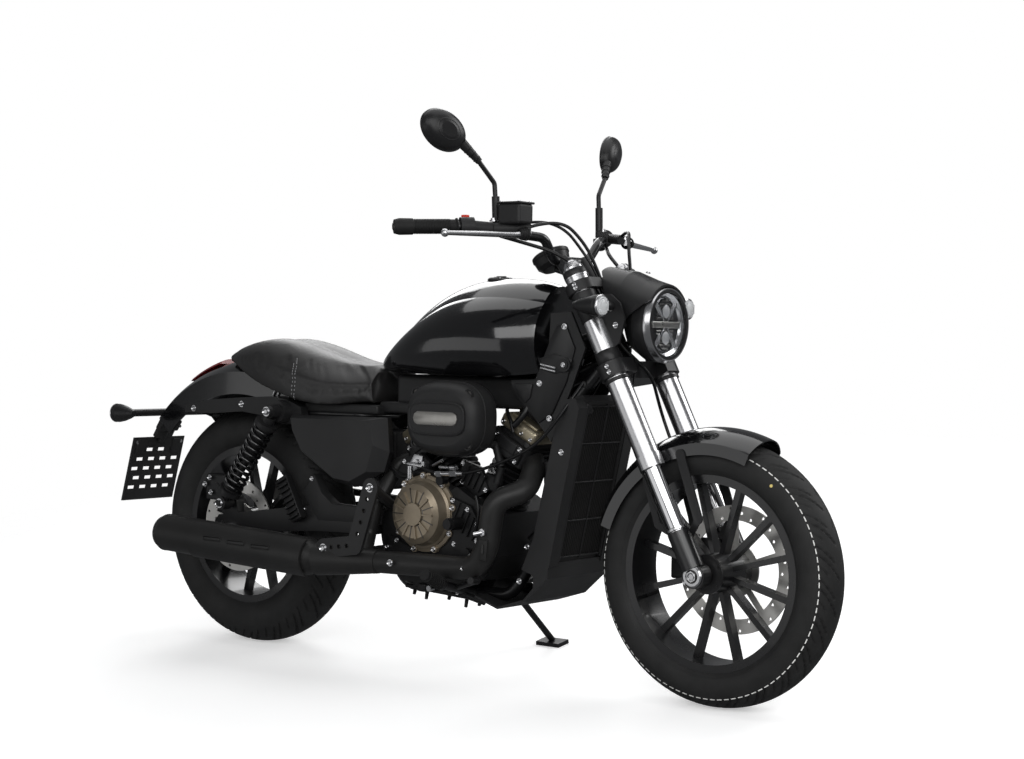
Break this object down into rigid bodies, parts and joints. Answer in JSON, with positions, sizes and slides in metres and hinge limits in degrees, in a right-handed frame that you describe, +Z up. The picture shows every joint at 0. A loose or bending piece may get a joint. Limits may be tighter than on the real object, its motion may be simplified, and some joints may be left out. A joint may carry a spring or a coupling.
{
  "type": "motorcycle",
  "caption": "Low cruiser motorcycle with a V-twin engine, teardrop fuel tank, stepped saddle, long muffler and raked fork, leaning on its side stand.",
  "frame": {"origin": "centre of the bounding box, on the ground", "axes": "+X towards the front wheel, +Y to the rider's left, +Z up; the machine leans 9 degrees towards +Y on its side stand"},
  "size_m": [2.1592, 0.8397, 1.3579],
  "materials": {
    "black_paint": "gloss",
    "satin_black": "satin",
    "black_castings": "painted black, matt",
    "bronze_cover": "satin",
    "steel": "brushed",
    "fork_alloy": "satin",
    "chrome_tube": "polished",
    "black_plastic": "matt",
    "grip_rubber": "matt",
    "tyre_rubber": "matt",
    "saddle_leather": "grained",
    "clear_glass": "clear",
    "red_lens": "gloss",
    "lamp_lens": "gloss"
  },
  "bodies": {
    "chassis": {"frame_spine": "black_paint", "frame_cradle": "black_paint", "swingarm": "black_paint", "rear_axle": "steel", "shocks": "satin_black", "shock_springs": "satin_black", "crankcase": "black_paint", "cylinders": "black_castings", "cylinder_heads": "black_castings", "clutch_cover": "bronze_cover", "left_engine_cover": "black_paint", "air_cleaner": "black_plastic", "header_pipes": "black_paint", "muffler": "satin_black", "muffler_shield": "satin_black", "muffler_hanger": "steel", "radiator": "black_castings", "radiator_shroud": "satin_black", "fuel_tank": "black_paint", "saddle": "saddle_leather", "rear_fender": "black_paint", "fender_struts": "satin_black", "side_covers": "satin_black", "under_seat_boxes": "black_plastic", "neck_covers": "satin_black", "tail_lamp": "red_lens", "rear_indicators": "lamp_lens", "plate_holder": "satin_black", "foot_pegs": "grip_rubber", "drive_chain": "steel", "rear_caliper": "satin_black"},
    "side_stand": {"side_stand": "satin_black"},
    "steering": {"triple_clamps": "black_paint", "fork_outer_tubes": "fork_alloy", "fork_inner_tubes": "chrome_tube", "fork_caps": "fork_alloy", "axle_lugs": "fork_alloy", "front_axle": "steel", "handlebar": "satin_black", "grips": "grip_rubber", "right_control": "black_plastic", "left_control": "black_plastic", "levers": "satin_black", "mirrors": "black_plastic", "headlight_shell": "satin_black", "headlight_lens": "clear_glass", "visor": "satin_black", "headlight_ears": "satin_black", "front_indicators": "lamp_lens", "speedometer": "black_plastic", "front_fender": "black_paint", "fender_stays": "black_paint", "front_caliper": "satin_black"},
    "front_wheel": {"front_wheel": "satin_black", "front_tyre": "tyre_rubber", "front_disc": "steel"},
    "rear_wheel": {"rear_wheel": "satin_black", "rear_tyre": "tyre_rubber", "rear_disc": "steel", "sprocket": "steel"}
  },
  "joints": [
    {"name": "steering", "type": "hinge", "parent": "chassis", "child": "steering", "pos_m": [0.47613, -0.03422, 0.80818], "axis": [-0.454, 0.1394, 0.88], "range_deg": [-35, 35]},
    {"name": "front_wheel_spin", "type": "hinge", "parent": "steering", "child": "front_wheel", "pos_m": [0.7806, -0.1153, 0.2963], "axis": [0, 0.9877, -0.1564], "continuous": true},
    {"name": "rear_wheel_spin", "type": "hinge", "parent": "chassis", "child": "rear_wheel", "pos_m": [-0.6274, -0.1135, 0.30766], "axis": [0, 0.9877, -0.1564], "continuous": true},
    {"name": "side_stand_fold", "type": "hinge", "parent": "chassis", "child": "side_stand", "pos_m": [0.0966, -0.00072, 0.1759], "axis": [0.1956, 0.806, 0.5587], "range_deg": [0, 95]}
  ]
}
